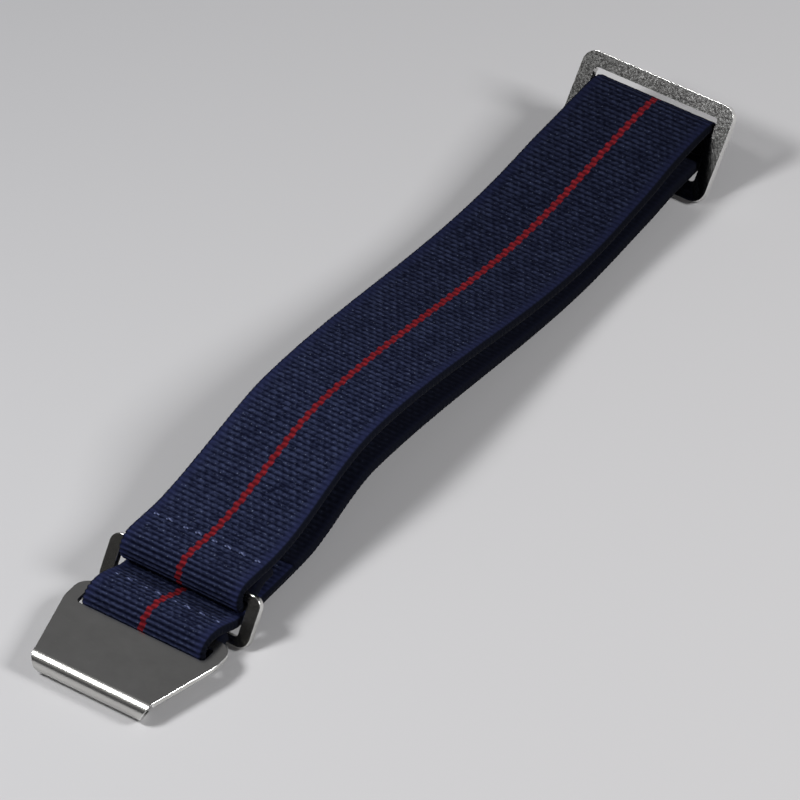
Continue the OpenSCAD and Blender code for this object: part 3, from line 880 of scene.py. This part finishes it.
def rimmed(name, node, finish, body, radius, crisp, walls):
    """A part's own shape with its sharp edges rounded.

    Steps of the rim that meet at more than the crisp angle stay apart as flat lines, and
    walls says whether the walls shine too.
    """
    shape = bmesh.new()
    shape.from_mesh(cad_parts[node].data)
    bmesh.ops.remove_doubles(shape, verts=shape.verts, dist=MERGE_WITHIN)
    bmesh.ops.dissolve_limit(shape, angle_limit=SAME_FLAT, verts=shape.verts, edges=shape.edges)
    flat = max(shape.faces, key=lambda face: face.calc_area()).normal.copy()
    sharp = [e for e in shape.edges if len(e.link_faces) == 2 and e.calc_face_angle() > SHARP_OVER]
    rim = shape.faces.layers.float.new("rim")
    rounded = bmesh.ops.bevel(shape, geom=sharp, offset=radius * MM, offset_type="OFFSET",
                              segments=RIM_STEPS, profile=0.5, affect="EDGES", clamp_overlap=True)
    bright = [f for f in shape.faces if walls and abs(f.normal.dot(flat)) < WALL_LEAN]
    for face in bright + rounded["faces"]:
        face[rim] = 1.0
    bmesh.ops.recalc_face_normals(shape, faces=shape.faces)
    mesh = bpy.data.meshes.new(name)
    shape.to_mesh(mesh)
    shape.free()
    mesh.shade_smooth()
    mesh.set_sharp_from_angle(angle=math.radians(crisp))
    mesh.materials.append(finish)
    helper = new_object(name + "_rounded", mesh)
    weighted = helper.modifiers.new("weighted", "WEIGHTED_NORMAL")
    weighted.keep_sharp = True
    ready = helper.evaluated_get(bpy.context.evaluated_depsgraph_get())
    piece = new_object(name, bpy.data.meshes.new_from_object(ready))
    bpy.data.objects.remove(helper)
    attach(piece, body)
    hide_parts(node)
    print(name, len(sharp), "sharp edges,", len(mesh.polygons), "faces")


# %% The three parts
rimmed("hook_sheet", "hook_plate", hook_finish, "hook",
       radius=0.12, crisp=40, walls=False)
rimmed("adjuster_sheet", "adjuster_loop", adjuster_finish, "adjuster",
       radius=0.12, crisp=40, walls=True)
rimmed("frame_sheet", "frame_plate", frame_finish, "frame",
       radius=0.5, crisp=25, walls=True)

# %% [markdown]
# ## The table
# The band lies on pale paper, painted a little greyer at the back: painted shade, for light
# that falls off there. One flat square is enough for it, as it only has to take the shadows.
# The lamps reach only the middle of it, and a larger lamp would change the light on the band.
# So past that the paper shows its own pale grey, to the camera and to what the steel reflects
# alone, and lights nothing.

# %% Table
TABLE_HALF, JUST_UNDER = 3.0, -2e-5
BACKWARDS, SHADE_FADES_OVER = (-1.29, -0.4, 0.0), 0.24
LIT_REACH, PAPER_REACH = 0.107, 0.26
PAPER, BACK_PAPER_SHADE, FAR_PAPER = paint(219, 218, 219), paint(197, 197, 199), paint(200, 200, 202)
corners = [(-TABLE_HALF, -TABLE_HALF), (TABLE_HALF, -TABLE_HALF),
           (TABLE_HALF, TABLE_HALF), (-TABLE_HALF, TABLE_HALF)]
table_mesh = bpy.data.meshes.new("table")
table_mesh.from_pydata([(x, y, JUST_UNDER) for x, y in corners], [], [(0, 1, 2, 3)])
table_finish, tree, skin = new_finish("table_paper", Roughness=0.6, Specular_IOR_Level=0.25)
where = put(tree, "ShaderNodeTexCoord", out="Object")
# painted shade: the paper is mixed towards grey at the back, for light that falls off there
grey = (facing(tree, where, BACKWARDS) / SHADE_FADES_OVER + 0.5).held()
join(tree, mixed(tree, grey, PAPER, BACK_PAPER_SHADE), skin.inputs["Base Color"])
away = put(tree, "ShaderNodeVectorMath", {0: where}, "Value", operation="LENGTH")
far = ((away - LIT_REACH) / (PAPER_REACH - LIT_REACH)).held()
ray = put(tree, "ShaderNodeLightPath", out="Is Camera Ray")
seen = far * (ray.math("MAXIMUM", ray.other("Is Glossy Ray"))
              .math("MAXIMUM", ray.other("Is Transmission Ray")))
shown = put(tree, "ShaderNodeEmission", {"Color": FAR_PAPER})
paper = put(tree, "ShaderNodeMixShader", {0: seen, 1: Wire(tree, skin.outputs[0]), 2: shown})
join(tree, paper, tree.nodes["Material Output"].inputs["Surface"])
table_mesh.materials.append(table_finish)
new_object("table", table_mesh)
print("table", 2 * TABLE_HALF, "m wide, lit to", LIT_REACH, "m from the middle")

# %% [markdown]
# ## The room, the lamps and the camera
# A small lamp stands high on the left in front and gives the short clear shadow on the
# right, and a wider, lower one on the right gives the soft shadow on the left. The room
# itself is dim, darkest low down, paler on the far wall and with a small window in front on
# the left, because steel shows mostly what is round it: that is what makes its dark and
# light bands, which an even white room would wash out. Lamps and room together are set so
# that a colour renders as it is written. The camera stands well back with a long lens, as
# for a picture of a small thing.

# %% Room
FAR_WALL, WALL_TIGHTNESS = (-0.42, 0.61, 0.67), 14.0
WINDOW, WINDOW_TIGHTNESS = (-0.41, -0.70, 0.585), 60.0
LOW_ROOM, HIGH_ROOM = paint(50, 50, 52), paint(86, 86, 88)
WALL_GREY, WINDOW_GREY = paint(108, 108, 110), paint(104, 104, 102)
world = bpy.data.worlds.new("studio")
bpy.context.scene.world = world
world.use_nodes = True
tree = world.node_tree
towards = put(tree, "ShaderNodeTexCoord", out="Generated")
upward = put(tree, "ShaderNodeSeparateXYZ", {0: towards}).other("Z").math("MAXIMUM", 0.0)
room = mixed(tree, upward, LOW_ROOM, HIGH_ROOM)
for direction, tightness, colour in ((FAR_WALL, WALL_TIGHTNESS, WALL_GREY),
                                     (WINDOW, WINDOW_TIGHTNESS, WINDOW_GREY)):
    glow = facing(tree, towards, direction).math("MAXIMUM", 0.0).math("POWER", tightness)
    room = mixed(tree, glow, room, colour)
join(tree, room, tree.nodes["Background"].inputs["Color"])
print("room", len(tree.nodes), "nodes")

# %% Lamps
def lamp(name, at, watts, size):
    """A square lamp that faces the middle of the band."""
    data = bpy.data.lights.new(name, "AREA")
    data.energy, data.shape, data.size = watts, "SQUARE", size
    made = new_object(name, data)
    made.location = at
    made.rotation_euler = (-Vector(at)).to_track_quat("-Z", "Y").to_euler()
    print(name, round(Vector(at).length, 2), "m away,", watts, "W")


lamp("left_lamp", at=(-0.141, -0.19, 0.3), watts=0.95, size=0.095)
lamp("right_lamp", at=(0.557, 0.18, 0.464), watts=3.2, size=0.22)

# %% Camera
AZIMUTH, ELEVATION, DISTANCE = math.radians(34.43), math.radians(41.86), 1.10282
AIM = Vector((3.62 * MM, -1.96 * MM, 5.0 * MM))
LENS, SENSOR = 360.0, 36.0
towards_camera = Vector((math.sin(AZIMUTH) * math.cos(ELEVATION),
                         -math.cos(AZIMUTH) * math.cos(ELEVATION), math.sin(ELEVATION)))
camera = new_object("camera", bpy.data.cameras.new("camera"))
camera.data.lens, camera.data.sensor_width = LENS, SENSOR
camera.location = AIM + towards_camera * DISTANCE
camera.rotation_euler = (-towards_camera).to_track_quat("-Z", "Y").to_euler()
bpy.context.scene.camera = camera
bpy.context.scene.view_settings.view_transform = "Standard"
print("camera at", [round(v, 3) for v in camera.location])
